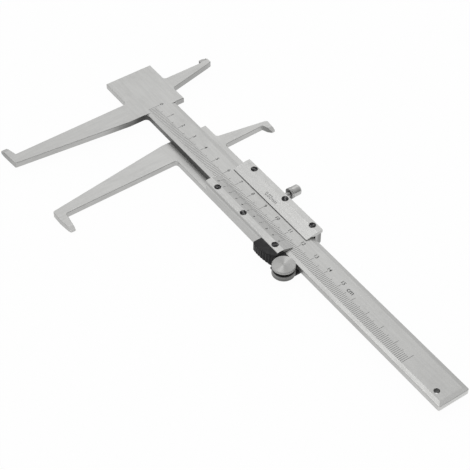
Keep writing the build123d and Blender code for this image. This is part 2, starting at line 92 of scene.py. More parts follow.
@dataclass
class NodeGraph:
    """A node tree with short calls for adding and joining nodes."""

    tree: bpy.types.NodeTree

    def add(self, kind: str, **values: object) -> bpy.types.Node:
        """Adds a node.

        Args:
            kind: the node's type name.
            values: its properties.

        Returns:
            The new node.
        """
        node = self.tree.nodes.new(kind)
        for name, value in values.items():
            setattr(node, name, value)
        return node

    def join(self, source: Socket, target: Socket) -> None:
        """Links an output to an input."""
        self.tree.links.new(source, target)

    def feed(self, value: object, target: Socket) -> None:
        """Links a socket to an input, or sets the input to a plain value.

        Args:
            value: a socket, or the value.
            target: the input.
        """
        if isinstance(value, Socket):
            self.join(value, target)
        else:
            target.default_value = value

    def math(self, operation: str, *inputs: object, clamp: bool = False) -> Socket:
        """Adds a Math node.

        Args:
            operation: the node's operation.
            inputs: sockets to link, or plain numbers.
            clamp: keeps the result between 0 and 1.

        Returns:
            The node's result.
        """
        node = self.add("ShaderNodeMath", operation=operation, use_clamp=clamp)
        for socket, value in zip(node.inputs, inputs):
            self.feed(value, socket)
        return node.outputs[0]

    def ramp(self, value: Socket, low: float, high: float) -> Socket:
        """Spreads the stretch from low to high over 0 to 1, with a smooth start and end.

        Args:
            value: what is spread.
            low: the value that becomes 0.
            high: the value that becomes 1.

        Returns:
            The spread value.
        """
        node = self.add("ShaderNodeMapRange", interpolation_type="SMOOTHSTEP")
        self.join(value, node.inputs["Value"])
        node.inputs["From Min"].default_value = low
        node.inputs["From Max"].default_value = high
        return node.outputs["Result"]

    def noise(self, vector: Socket, scale: object, detail: float) -> Socket:
        """Adds a Noise texture.

        Args:
            vector: where the noise is read.
            scale: a number or a socket.
            detail: how many finer layers it has.

        Returns:
            The noise, about 0.5 on average.
        """
        node = self.add("ShaderNodeTexNoise")
        self.join(vector, node.inputs["Vector"])
        self.feed(scale, node.inputs["Scale"])
        node.inputs["Detail"].default_value = detail
        return node.outputs["Fac"]

    def blend(self, share: Socket, first: object, second: object) -> Socket:
        """Mixes two colours.

        Args:
            share: how much of the second shows, from 0 to 1.
            first: a colour or a socket.
            second: a colour or a socket.

        Returns:
            The mixed colour.
        """
        node = self.add("ShaderNodeMix", data_type="RGBA")
        self.join(share, node.inputs["Factor"])
        for socket, value in ((node.inputs["A"], first), (node.inputs["B"], second)):
            if isinstance(value, Socket):
                self.join(value, socket)
            else:
                socket.default_value = (*value, 1.0)
        return node.outputs["Result"]

    def between(self, share: Socket, first: object, second: object) -> Socket:
        """Mixes two values.

        Args:
            share: how much of the second counts, from 0 to 1.
            first: a socket or a number.
            second: a socket or a number.

        Returns:
            The mixed value.
        """
        node = self.add("ShaderNodeMix", data_type="FLOAT")
        for name, value in (("Factor", share), ("A", first), ("B", second)):
            self.feed(value, node.inputs[name])
        return node.outputs["Result"]


@dataclass
class EffectGroup:
    """A shader node group with named inputs and outputs, built once and used by many finishes."""

    name: str
    inputs: dict[str, float | Triple]
    outputs: tuple[str, ...]
    tree: bpy.types.NodeTree = field(init=False)
    graph: NodeGraph = field(init=False)
    entry: bpy.types.Node = field(init=False)
    result: bpy.types.Node = field(init=False)

    def __post_init__(self) -> None:
        """Makes the tree with its sockets: the place on the piece, the inputs, and numbers as outputs."""
        self.tree = bpy.data.node_groups.new(self.name, "ShaderNodeTree")
        sockets = self.tree.interface
        sockets.new_socket("Place", in_out="INPUT", socket_type="NodeSocketVector")
        for name, value in self.inputs.items():
            kind = "NodeSocketFloat" if isinstance(value, float) else "NodeSocketVector"
            sockets.new_socket(name, in_out="INPUT", socket_type=kind).default_value = value
        for name in self.outputs:
            sockets.new_socket(name, in_out="OUTPUT", socket_type="NodeSocketFloat")
        self.graph = NodeGraph(self.tree)
        self.entry = self.graph.add("NodeGroupInput")
        self.result = self.graph.add("NodeGroupOutput")

    def use(self, graph: NodeGraph, vector: Socket, **values: object) -> bpy.types.Node:
        """Places the group in a material.

        Args:
            graph: the material's nodes.
            vector: the place on the piece.
            values: the group's other inputs, by their names in small letters.

        Returns:
            The group node.
        """
        node = graph.add("ShaderNodeGroup", node_tree=self.tree)
        graph.join(vector, node.inputs["Place"])
        for name, value in values.items():
            node.inputs[name.title()].default_value = value
        return node


class Effects:
    """The effects that more than one finish uses."""

    def __init__(self) -> None:
        """Builds every effect's group once."""
        self.grain = self._grain()
        self.film = self._film()
        self.rings = self._rings()
        self.pits = self._pits()
        self.wear = self._wear()
        self.groove_soil = self._groove_soil()
        self.patch = self._patch()

    def patched(
        self,
        graph: "MaterialGraph",
        tone: Socket,
        colour: Triple,
        patches: "tuple[SteelPatch, ...]",
    ) -> Socket:
        """Gives a colour its patches of painted shade and painted light.

        Args:
            graph: the material's nodes.
            tone: the colour without them.
            colour: the metal's plain colour.
            patches: the patches, in the order in which they lie over each other.

        Returns:
            The colour with the patches on it.
        """
        for patch in patches:
            space = graph.place(centre=patch.centre, unit=patch.reach)
            mask = self.patch.use(graph, space, facing=patch.facing).outputs["Mask"]
            # Paints the patch's shade, or its light where its tone is above 1, into the colour.
            tone = graph.blend(mask, tone, toned(colour, patch.tone))
        return tone

    @staticmethod
    def _grain() -> EffectGroup:
        """Ground grain: noise that is long one way and short the other, in a fine and a broad layer.

        Returns:
            The group, whose Height is the fine relief and whose Streaks are the broad tone.
        """
        group = EffectGroup("Ground grain", {"Along": 0.2, "Across": 9.0}, ("Height", "Streaks"))
        graph = group.graph
        longer, wider = 0.35, 0.12
        streak_limits = (0.3, 0.7)
        parts = graph.add("ShaderNodeSeparateXYZ")
        graph.join(group.entry.outputs["Place"], parts.inputs[0])
        along = graph.math("MULTIPLY", parts.outputs["X"], group.entry.outputs["Along"])
        across = graph.math("MULTIPLY", parts.outputs["Y"], group.entry.outputs["Across"])
        deep = graph.math("MULTIPLY", parts.outputs["Z"], group.entry.outputs["Across"])
        fine = graph.add("ShaderNodeCombineXYZ")
        for value, socket in ((along, "X"), (across, "Y"), (deep, "Z")):
            graph.join(value, fine.inputs[socket])
        broad = graph.add("ShaderNodeCombineXYZ")
        for value, socket, share in ((along, "X", longer), (across, "Y", wider), (deep, "Z", wider)):
            graph.join(graph.math("MULTIPLY", value, share), broad.inputs[socket])
        graph.join(graph.noise(fine.outputs[0], 1.0, detail=2.0), group.result.inputs["Height"])
        streaks = graph.noise(broad.outputs[0], 1.0, detail=4.0)
        graph.join(graph.ramp(streaks, *streak_limits), group.result.inputs["Streaks"])
        return group

    @staticmethod
    def _film() -> EffectGroup:
        """Handling film: soft clouds of a few millimetres, cut by a finer noise.

        Returns:
            The group, whose Mask is 0 on clean metal and 1 where the film is thickest.
        """
        group = EffectGroup("Handling film", {"Size": 0.08}, ("Mask",))
        graph = group.graph
        cloud_limits, finer_limits, finer_by = (0.35, 0.75), (0.25, 0.7), 7.0
        place, size = group.entry.outputs["Place"], group.entry.outputs["Size"]
        clouds = graph.ramp(graph.noise(place, size, detail=4.0), *cloud_limits)
        finer_size = graph.math("MULTIPLY", size, finer_by)
        finer = graph.ramp(graph.noise(place, finer_size, detail=3.0), *finer_limits)
        graph.join(graph.math("MULTIPLY", clouds, finer), group.result.inputs["Mask"])
        return group

    @staticmethod
    def _rings() -> EffectGroup:
        """Turning lines: noise read by the distance from the axis Z plus the height, so that it runs in
        rings on flat ends and on round sides.

        Returns:
            The group, whose Height is the relief of the rings.
        """
        group = EffectGroup("Turning lines", {"Pitch": 8.0}, ("Height",))
        graph = group.graph
        parts = graph.add("ShaderNodeSeparateXYZ")
        graph.join(group.entry.outputs["Place"], parts.inputs[0])
        squares = [graph.math("POWER", parts.outputs[name], 2.0) for name in ("X", "Y")]
        from_axis = graph.math("SQRT", graph.math("ADD", *squares))
        reach = graph.math("ADD", from_axis, parts.outputs["Z"])
        lines = graph.add("ShaderNodeTexNoise", noise_dimensions="1D")
        graph.join(graph.math("MULTIPLY", reach, group.entry.outputs["Pitch"]), lines.inputs["W"])
        lines.inputs["Scale"].default_value = 1.0
        lines.inputs["Detail"].default_value = 2.0
        graph.join(lines.outputs["Fac"], group.result.inputs["Height"])
        return group

    @staticmethod
    def _pits() -> EffectGroup:
        """Moulded or blackened texture: small cells whose depth varies.

        Returns:
            The group, whose Height is the relief and whose Mask marks the deepest cells.
        """
        group = EffectGroup("Fine pits", {"Density": 4.0}, ("Height", "Mask"))
        graph = group.graph
        deepest_limits = (0.1, 0.45)
        cells = graph.add("ShaderNodeTexVoronoi", feature="SMOOTH_F1")
        graph.join(group.entry.outputs["Place"], cells.inputs["Vector"])
        graph.join(group.entry.outputs["Density"], cells.inputs["Scale"])
        graph.join(cells.outputs["Distance"], group.result.inputs["Height"])
        graph.join(graph.ramp(cells.outputs["Distance"], *deepest_limits), group.result.inputs["Mask"])
        return group

    @staticmethod
    def _wear() -> EffectGroup:
        """Edge wear and painted highlight: where a normal averaged over a small radius leaves the face's own
        one, an edge is near.

        Returns:
            The group, whose Mask is 1 on edges that are rubbed and painted lighter as highlights, with gaps
            left by a noise.
        """
        group = EffectGroup("Edge wear", {"Width": 0.15}, ("Mask",))
        graph = group.graph
        edge_limits = (0.01, 0.12)
        gap_limits, gap_scale = (0.25, 0.5), 1.6
        rounded = graph.add("ShaderNodeBevel", samples=6)
        graph.join(graph.math("MULTIPLY", group.entry.outputs["Width"], MM), rounded.inputs["Radius"])
        cosine = graph.add("ShaderNodeVectorMath", operation="DOT_PRODUCT")
        graph.join(rounded.outputs["Normal"], cosine.inputs[0])
        graph.join(graph.add("ShaderNodeNewGeometry").outputs["Normal"], cosine.inputs[1])
        edge = graph.ramp(graph.math("SUBTRACT", 1.0, cosine.outputs["Value"]), *edge_limits)
        holes = graph.noise(group.entry.outputs["Place"], gap_scale, detail=2.0)
        gaps = graph.ramp(holes, *gap_limits)
        graph.join(graph.math("MULTIPLY", edge, gaps), group.result.inputs["Mask"])
        return group

    @staticmethod
    def _groove_soil() -> EffectGroup:
        """Painted shade in grooves: where the piece itself shuts off its surroundings within a
        reach, the finishes paint it darker, unevenly.

        Returns:
            The group, whose Mask is 1 deep in a groove.
        """
        group = EffectGroup("Groove soil", {"Reach": 1.5}, ("Mask",))
        graph = group.graph
        shut_limits = (0.25, 0.7)
        cloud_scale, cloud_swing, cloud_base = 0.8, 0.4, 0.75
        openness = graph.add("ShaderNodeAmbientOcclusion", samples=8, only_local=True)
        graph.join(graph.math("MULTIPLY", group.entry.outputs["Reach"], MM), openness.inputs["Distance"])
        shut = graph.ramp(graph.math("SUBTRACT", 1.0, openness.outputs["AO"]), *shut_limits)
        clouds = graph.noise(group.entry.outputs["Place"], cloud_scale, detail=3.0)
        uneven = graph.math("MULTIPLY_ADD", clouds, cloud_swing, cloud_base)
        graph.join(graph.math("MULTIPLY", shut, uneven, clamp=True), group.result.inputs["Mask"])
        return group

    @staticmethod
    def _patch() -> EffectGroup:
        """A patch of painted shade, or of painted light where its tone is above 1: full in the middle of an
        egg-shaped space, gone at its rim, and only on faces that point one way. With a facing of zero length
        it is on all faces.

        Returns:
            The group, whose Mask is 1 in the middle of the patch.
        """
        group = EffectGroup("Steel patch", {"Facing": EVERY_WAY}, ("Mask",))
        graph = group.graph
        fade_limits, facing_limits = (0.0, 0.85), (0.3, 0.6)
        cloud_scale, cloud_swing, cloud_base = 30.0, 0.7, 0.6
        reach = graph.add("ShaderNodeVectorMath", operation="LENGTH")
        graph.join(group.entry.outputs["Place"], reach.inputs[0])
        inside = graph.ramp(graph.math("SUBTRACT", 1.0, reach.outputs["Value"]), *fade_limits)
        cosine = graph.add("ShaderNodeVectorMath", operation="DOT_PRODUCT")
        graph.join(graph.add("ShaderNodeTexCoord").outputs["Normal"], cosine.inputs[0])
        graph.join(group.entry.outputs["Facing"], cosine.inputs[1])
        length = graph.add("ShaderNodeVectorMath", operation="LENGTH")
        graph.join(group.entry.outputs["Facing"], length.inputs[0])
        any_way = graph.math("SUBTRACT", 1.0, length.outputs["Value"])
        turned = graph.ramp(graph.math("ADD", cosine.outputs["Value"], any_way), *facing_limits)
        clouds = graph.noise(group.entry.outputs["Place"], cloud_scale, detail=4.0)
        uneven = graph.math("MULTIPLY_ADD", clouds, cloud_swing, cloud_base)
        patch = graph.math("MULTIPLY", graph.math("MULTIPLY", inside, turned), uneven, clamp=True)
        graph.join(patch, group.result.inputs["Mask"])
        return group


class MaterialGraph(NodeGraph):
    """The nodes of one material, round a Principled BSDF."""

    def __init__(self, name: str, roughness: float, metallic: float) -> None:
        """Makes the material.

        Args:
            name: the material's name.
            roughness: the value on the shader's own socket.
            metallic: 1 for bare metal and 0 for the rest.
        """
        self.material = bpy.data.materials.new(name)
        self.material.use_nodes = True
        super().__init__(self.material.node_tree)
        self.shader = self.tree.nodes["Principled BSDF"]
        self.shader.inputs["Roughness"].default_value = roughness
        self.shader.inputs["Metallic"].default_value = metallic

    def place(
        self,
        centre: Triple = (0.0, 0.0, 0.0),
        turn: Triple = (0.0, 0.0, 0.0),
        unit: Triple = (1.0, 1.0, 1.0),
    ) -> Socket:
        """The place on the piece, in millimetres or in other units along each axis.

        Args:
            centre: the point, in millimetres, that becomes the pattern's zero.
            turn: how the pattern is turned, in degrees.
            unit: the length, in millimetres, that counts as 1 along each axis.

        Returns:
            The vector to read patterns at.
        """
        coordinates = self.add("ShaderNodeTexCoord")
        mapping = self.add("ShaderNodeMapping", vector_type="TEXTURE")
        self.join(coordinates.outputs["Object"], mapping.inputs["Vector"])
        mapping.inputs["Location"].default_value = Vector(centre) * MM
        mapping.inputs["Rotation"].default_value = [math.radians(degrees) for degrees in turn]
        mapping.inputs["Scale"].default_value = Vector(unit) * MM
        return mapping.outputs["Vector"]

    def paint(self, colour: Socket) -> None:
        """Feeds the shader's base colour."""
        self.join(colour, self.shader.inputs["Base Color"])

    def roughen(self, mask: Socket, swing: float, base: object) -> None:
        """Feeds the shader's roughness: a base, plus a swing times a mask from 0 to 1."""
        self.join(self.math("MULTIPLY_ADD", mask, swing, base), self.shader.inputs["Roughness"])

    def relief(self, height: Socket, depth: float, edge: float) -> None:
        """Feeds a relief and slightly rounded edges to the shader's normal.

        Args:
            height: the relief, from 0 to 1.
            depth: its depth in millimetres.
            edge: the radius of the edges in millimetres.
        """
        rounded = self.add("ShaderNodeBevel", samples=4)
        rounded.inputs["Radius"].default_value = edge * MM
        bump = self.add("ShaderNodeBump")
        bump.inputs["Strength"].default_value = 1.0
        bump.inputs["Distance"].default_value = depth * MM
        self.join(height, bump.inputs["Height"])
        self.join(rounded.outputs["Normal"], bump.inputs["Normal"])
        self.join(bump.outputs["Normal"], self.shader.inputs["Normal"])


@dataclass(frozen=True)
class SteelPatch:
    """Where shade or light is painted on steel: the patch's centre and its reach along each axis in
    millimetres, the way its faces point or EVERY_WAY, and its tone as a share of the metal's own, below 1
    for painted shade and above 1 for painted light."""

    centre: Triple
    reach: Triple
    facing: Triple
    tone: float


@dataclass(frozen=True)
class GroundSteel:
    """Satin ground or matt chromed steel with a fine grain, rubbed edges that are also painted lighter as
    highlights, and patches of painted shade and light.
    """

    name: str
    colour: Triple
    roughness: float
    run: GrainRun
    depth: float = 0.0016
    streak_tone: float = 0.955
    streak_polish: float = -0.05
    film_tone: float = 0.98
    film_roughness: float = 0.08
    fleck_tone: float = 0.98
    fleck_density: float = 1.7
    edge_tone: float = 1.6
    edge_width: float = 0.2
    edge_radius: float = 0.12
    lengthwise_to: float = 14.0
    crosswise_from: float = 17.0
    patches: tuple[SteelPatch, ...] = ()

    def grain(self, graph: MaterialGraph, effects: Effects, lengthwise: Socket) -> tuple[Socket, Socket]:
        """Lays the grain lengthwise, or turns it along the jaws at either side of the beam.

        Args:
            graph: the material's nodes.
            effects: the shared effects.
            lengthwise: the place on the piece.

        Returns:
            The fine relief and the broad streaks.
        """
        along = effects.grain.use(graph, lengthwise)
        if self.run is GrainRun.LENGTHWISE:
            return along.outputs["Height"], along.outputs["Streaks"]
        crosswise = effects.grain.use(graph, graph.place(turn=(0, 0, 90)))
        parts = graph.add("ShaderNodeSeparateXYZ")
        graph.join(lengthwise, parts.inputs[0])
        side = graph.math("ABSOLUTE", parts.outputs["Y"])
        on_jaw = graph.ramp(side, self.lengthwise_to, self.crosswise_from)
        height = graph.between(on_jaw, along.outputs["Height"], crosswise.outputs["Height"])
        streaks = graph.between(on_jaw, along.outputs["Streaks"], crosswise.outputs["Streaks"])
        return height, streaks

    def material(self, effects: Effects) -> bpy.types.Material:
        """Builds the material.

        Args:
            effects: the shared effects.

        Returns:
            The material.
        """
        graph = MaterialGraph(self.name, self.roughness, 1.0)
        place = graph.place()
        height, streaks = self.grain(graph, effects, place)
        film = effects.film.use(graph, place).outputs["Mask"]
        flecks = effects.pits.use(graph, place, density=self.fleck_density).outputs["Mask"]
        tone = graph.math("MULTIPLY_ADD", streaks, 1.0 - self.streak_tone, self.streak_tone)
        for mask, full in ((film, self.film_tone), (flecks, self.fleck_tone)):
            tone = graph.math("MULTIPLY", tone, graph.math("MULTIPLY_ADD", mask, full - 1.0, 1.0))
        shade = graph.add("ShaderNodeVectorMath", operation="SCALE")
        shade.inputs[0].default_value = self.colour
        graph.join(tone, shade.inputs["Scale"])
        # Edges: rubbed, and painted lighter as highlights.
        wear_and_highlight = effects.wear.use(graph, place, width=self.edge_width).outputs["Mask"]
        rubbed = graph.blend(wear_and_highlight, shade.outputs["Vector"], toned(self.colour, self.edge_tone))
        # The patches paint shade and light over the colour.
        graph.paint(effects.patched(graph, rubbed, self.colour, self.patches))
        rough = graph.math("MULTIPLY_ADD", film, self.film_roughness, self.roughness)
        graph.roughen(streaks, self.streak_polish, rough)
        graph.relief(height, self.depth, self.edge_radius)
        return graph.material


@dataclass(frozen=True)
class TurnedSteel:
    """Bright steel turned on a lathe, with rings round one axis and the streaked gloss that they give,
    painted shade in its grooves and recesses, and rubbed edges painted lighter as highlights.
    """

    name: str
    colour: Triple
    roughness: float
    centre: Triple
    turn: Triple
    axis: TurningAxis
    depth: float = 0.0022
    anisotropy: float = 0.95
    across_rings: float = 0.25
    ring_roughness: float = 0.12
    film_size: float = 0.25
    film_tone: float = 0.9
    edge_tone: float = 1.4
    edge_width: float = 0.3
    edge_radius: float = 0.1
    soil_tone: float = 0.12
    soil_reach: float = 1.5
    patches: tuple[SteelPatch, ...] = ()

    def material(self, effects: Effects) -> bpy.types.Material:
        """Builds the material.

        Args:
            effects: the shared effects.

        Returns:
            The material.
        """
        graph = MaterialGraph(self.name, self.roughness, 1.0)
        place = graph.place(self.centre, self.turn)
        rings = effects.rings.use(graph, place).outputs["Height"]
        film = effects.film.use(graph, place, size=self.film_size).outputs["Mask"]
        tone = graph.blend(film, self.colour, toned(self.colour, self.film_tone))
        # Painted shade in grooves and recesses.
        recess_shade = effects.groove_soil.use(graph, place, reach=self.soil_reach).outputs["Mask"]
        # Edges: rubbed, and painted lighter as highlights.
        wear_and_highlight = effects.wear.use(graph, place, width=self.edge_width).outputs["Mask"]
        tone = graph.blend(wear_and_highlight, tone, toned(self.colour, self.edge_tone))
        tone = graph.blend(recess_shade, tone, toned(self.colour, self.soil_tone))
        graph.paint(effects.patched(graph, tone, self.colour, self.patches))
        graph.roughen(rings, self.ring_roughness, self.roughness)
        graph.shader.inputs["Anisotropic"].default_value = self.anisotropy
        graph.shader.inputs["Anisotropic Rotation"].default_value = self.across_rings
        tangent = graph.add("ShaderNodeTangent", direction_type="RADIAL", axis=self.axis.value)
        graph.join(tangent.outputs["Tangent"], graph.shader.inputs["Tangent"])
        graph.relief(rings, self.depth, self.edge_radius)
        return graph.material


@dataclass(frozen=True)
class BlackenedSteel:
    """Oiled black oxide on steel, rubbed to bare metal in spots, and grey at edges as wear and as painted
    glints.
    """

    name: str
    colour: Triple
    rubbed: Triple
    roughness: float
    metallic: float = 0.7
    gloss: float = 0.3
    film_size: float = 0.9
    film_share: float = 0.06
    pit_density: float = 7.0
    pit_depth: float = 0.006
    pit_roughness: float = 0.15
    edge_width: float = 0.28
    edge_radius: float = 0.08

    def material(self, effects: Effects) -> bpy.types.Material:
        """Builds the material.

        Args:
            effects: the shared effects.

        Returns:
            The material.
        """
        graph = MaterialGraph(self.name, self.roughness, self.metallic)
        graph.shader.inputs["Specular IOR Level"].default_value = self.gloss
        place = graph.place()
        film = effects.film.use(graph, place, size=self.film_size).outputs["Mask"]
        pits = effects.pits.use(graph, place, density=self.pit_density)
        wear_and_highlight = effects.wear.use(graph, place, width=self.edge_width).outputs["Mask"]
        # Bare spots, and edges painted grey as wear and as glints.
        bare = graph.math("MAXIMUM", wear_and_highlight, graph.math("MULTIPLY", film, self.film_share))
        graph.paint(graph.blend(bare, self.colour, self.rubbed))
        graph.roughen(pits.outputs["Mask"], self.pit_roughness, self.roughness)
        graph.relief(pits.outputs["Height"], self.pit_depth, self.edge_radius)
        return graph.material


@dataclass(frozen=True)
class MouldedPlastic:
    """Black moulded plastic with a fine spark-eroded texture."""

    name: str
    colour: Triple
    greyed: Triple
    roughness: float
    gloss: float = 0.25
    film_size: float = 0.3
    film_roughness: float = 0.12
    pit_density: float = 5.0
    pit_depth: float = 0.012
    edge_width: float = 0.2
    edge_radius: float = 0.15

    def material(self, effects: Effects) -> bpy.types.Material:
        """Builds the material.

        Args:
            effects: the shared effects.

        Returns:
            The material.
        """
        graph = MaterialGraph(self.name, self.roughness, 0.0)
        graph.shader.inputs["Specular IOR Level"].default_value = self.gloss
        place = graph.place()
        pits = effects.pits.use(graph, place, density=self.pit_density)
        film = effects.film.use(graph, place, size=self.film_size).outputs["Mask"]
        wear_and_highlight = effects.wear.use(graph, place, width=self.edge_width).outputs["Mask"]
        # Greyer on its film, and on its edges as wear and as a painted highlight.
        graph.paint(graph.blend(graph.math("MAXIMUM", film, wear_and_highlight), self.colour, self.greyed))
        graph.roughen(film, self.film_roughness, self.roughness)
        graph.relief(pits.outputs["Height"], self.pit_depth, self.edge_radius)
        return graph.material


@dataclass(frozen=True)
class MarkFill:
    """Dark filling of the engraved lines and figures, thinner in places."""

    name: str
    colour: Triple
    faded: Triple
    roughness: float
    film_size: float = 0.5
    pit_density: float = 9.0
    pit_roughness: float = 0.2

    def material(self, effects: Effects) -> bpy.types.Material:
        """Builds the material.

        Args:
            effects: the shared effects.

        Returns:
            The material.
        """
        graph = MaterialGraph(self.name, self.roughness, 0.0)
        place = graph.place()
        film = effects.film.use(graph, place, size=self.film_size).outputs["Mask"]
        pits = effects.pits.use(graph, place, density=self.pit_density)
        graph.paint(graph.blend(film, self.colour, self.faded))
        graph.roughen(pits.outputs["Mask"], self.pit_roughness, self.roughness)
        return graph.material


def middle_of(node: str) -> Triple:
    """The middle of a node's box, in millimetres."""
    low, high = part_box(node)
    return tuple((low + high) / 2 / MM)


def beam_patches() -> tuple[SteelPatch, ...]:
    """The beam's painted light: painted shade along its near edge, in the long jaw's root and at a hook's
    tip, on the sides of the head and the hooks and on the hole's wall, which turns all the way round, so
    three patches a third of a turn apart cover it; and a painted highlight on the free end.

    Returns:
        The patches.
    """
    near, to_viewer = (0.0, -1.0, 0.0), (0.7, -0.7, 0.0)
    # Painted shade along the near edge, in the long jaw's root and its corner, on the sides of the head and
    # the hooks, and at a hook's tip.
    near_edge_shade = SteelPatch((-30.0, -8.4, 3.5), (78.0, 6.0, 9.0), near, 0.16)
    jaw_root_shade = SteelPatch((-62.0, -13.0, 3.5), (14.0, 24.0, 9.0), to_viewer, 0.25)
    corner = SteelPatch((-60.5, -10.0, 4.0), (8.0, 8.0, 10.0), to_viewer, 0.02)
    head_side_shade = SteelPatch((-66.0, 24.0, 3.5), (45.0, 44.0, 14.0), to_viewer, 0.72)
    hook_side_shade = SteelPatch((-80.0, -80.0, 3.5), (18.0, 14.0, 9.0), near, 0.6)
    short_tip_shade = SteelPatch((-82.5, 37.5, 5.0), (8.0, 6.0, 9.0), (-0.3, -0.95, 0.0), 0.1)
    # A painted highlight on the free end.
    end_highlight = SteelPatch((172.0, 0.0, 3.5), (75.0, 40.0, 9.0), (0.85, -0.45, 0.25), 1.25)
    # Painted shade on the hole's wall.
    hole_wall_shade = tuple(
        SteelPatch((155.9, -3.7, 4.6), (6.0, 4.4, 8.0), (math.cos(turn), math.sin(turn), 0.0), 0.05)
        for turn in (-0.6, 1.5, 3.6)
    )
    return (near_edge_shade, jaw_root_shade, corner, head_side_shade, hook_side_shade, short_tip_shade, end_highlight, *hole_wall_shade)


def cover_seam() -> SteelPatch:
    """Painted shade along the cover plate's lip, where it stands over the beam: narrow across the lip, and
    longer than the plate, so that it is still dark at the plate's ends.

    Returns:
        The patch.
    """
    low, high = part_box("cover_plate")
    length_share, half_width, half_height = 1.2, 0.35, 1.0
    middle = ((low.x + high.x) / 2 / MM, low.y / MM, low.z / MM)
    reach = (length_share * (high.x - low.x) / MM, half_width, half_height)
    return SteelPatch(middle, reach, EVERY_WAY, 0.05)


@dataclass
class Finishes:
    """Every finish of the caliper, each built when a piece first needs it."""

    effects: Effects
    steel: Triple = (0.545, 0.545, 0.535)

    @cached_property
    def beam(self) -> bpy.types.Material:
        """Ground steel of the beam and the fixed jaws, a little flecked, with painted shade and a painted
        highlight.

        Returns:
            The material.
        """
        return GroundSteel(
            "ground_beam",
            self.steel,
            roughness=0.4,
            run=GrainRun.ALONG_JAWS,
            fleck_tone=0.945,
            patches=beam_patches(),
        ).material(self.effects)

    @cached_property
    def slider(self) -> bpy.types.Material:
        """Ground steel of the slider and the moving jaws, with painted shade in the short hook and at a
        wall's end.

        Returns:
            The material.
        """
        # Painted shade in the short hook and at a wall's end.
        short_hook_shade = SteelPatch((-18.5, 35.0, 1.5), (11.0, 8.0, 6.0), (0.3, -0.95, 0.0), 0.25)
        wall_end_shade = SteelPatch((55.0, 12.2, 4.0), (3.0, 3.0, 9.0), (1.0, 0.0, 0.0), 0.5)
        return GroundSteel(
            "ground_steel",
            self.steel,
            roughness=0.4,
            run=GrainRun.ALONG_JAWS,
            patches=(short_hook_shade, wall_end_shade),
        ).material(self.effects)

    @cached_property
    def plate(self) -> bpy.types.Material:
        """Matt chrome of the two front plates, with painted shade along the cover plate's lip.

        Returns:
            The material.
        """
        return GroundSteel(
            "matt_chrome",
            (0.595, 0.595, 0.585),
            roughness=0.38,
            run=GrainRun.LENGTHWISE,
            depth=0.003,
            fleck_tone=0.9,
            # Painted shade along the cover plate's lip.
            patches=(cover_seam(),),
        ).material(self.effects)

    @cached_property
    def spring(self) -> bpy.types.Material:
        """Rolled spring steel of the gib strip and the roller's spring.

        Returns:
            The material.
        """
        return GroundSteel(
            "rolled_spring_steel",
            (0.4, 0.39, 0.37),
            roughness=0.3,
            run=GrainRun.LENGTHWISE,
        ).material(self.effects)

    @cached_property
    def screw(self) -> bpy.types.Material:
        """Black oxide of the plates' screws.

        Returns:
            The material.
        """
        return BlackenedSteel(
            "black_oxide",
            (0.01, 0.01, 0.011),
            rubbed=(0.6, 0.6, 0.6),
            roughness=0.3,
        ).material(self.effects)

    @cached_property
    def plastic(self) -> bpy.types.Material:
        """Black plastic of the thumb grip.

        Returns:
            The material.
        """
        return MouldedPlastic(
            "black_plastic",
            (0.014, 0.014, 0.015),
            greyed=(0.05, 0.05, 0.05),
            roughness=0.45,
        ).material(self.effects)

    @cached_property
    def fill(self) -> bpy.types.Material:
        """Dark filling of all lines and figures.

        Returns:
            The material.
        """
        return MarkFill(
            "mark_fill",
            (0.045, 0.045, 0.047),
            faded=(0.17, 0.17, 0.17),
            roughness=0.5,
        ).material(self.effects)

    @cached_property
    def roller(self) -> bpy.types.Material:
        """Turned steel of the thumb roller, with painted shade in its groove and on its lower flange.

        Returns:
            The material.
        """
        middle = middle_of("thumb_roller")
        # Painted shade on the lower flange.
        flange = SteelPatch((*middle[:2], 2.6), (14.0, 14.0, 3.4), EVERY_WAY, 0.25)
        return TurnedSteel(
            "turned_roller",
            (0.5, 0.5, 0.49),
            roughness=0.32,
            centre=middle,
            turn=(0, 0, 0),
            axis=TurningAxis.Z,
            anisotropy=1.0,
            # Deep painted shade in the groove, reaching far.
            soil_tone=0.03,
            soil_reach=3.0,
            patches=(flange,),
        ).material(self.effects)

    @cached_property
    def knob(self) -> bpy.types.Material:
        """Turned steel of the lock screw, with painted shade on one side of its knurled collar.

        Returns:
            The material.
        """
        # Painted shade on one side of the knurled collar.
        knurl = SteelPatch((24.2, 17.4, 4.6), (7.0, 3.0, 7.0), (-0.75, -0.6, 0.3), 0.05)
        return TurnedSteel(
            "turned_knob",
            (0.53, 0.53, 0.52),
            roughness=0.17,
            centre=middle_of("lock_screw"),
            turn=(90, 0, 0),
            axis=TurningAxis.Y,
            patches=(knurl,),
        ).material(self.effects)

    @cached_property
    def pin(self) -> bpy.types.Material:
        """Ground steel of the roller's axle.

        Returns:
            The material.
        """
        return TurnedSteel(
            "ground_pin",
            (0.64, 0.64, 0.63),
            roughness=0.25,
            centre=middle_of("thumb_roller"),
            turn=(0, 0, 0),
            axis=TurningAxis.Z,
        ).material(self.effects)


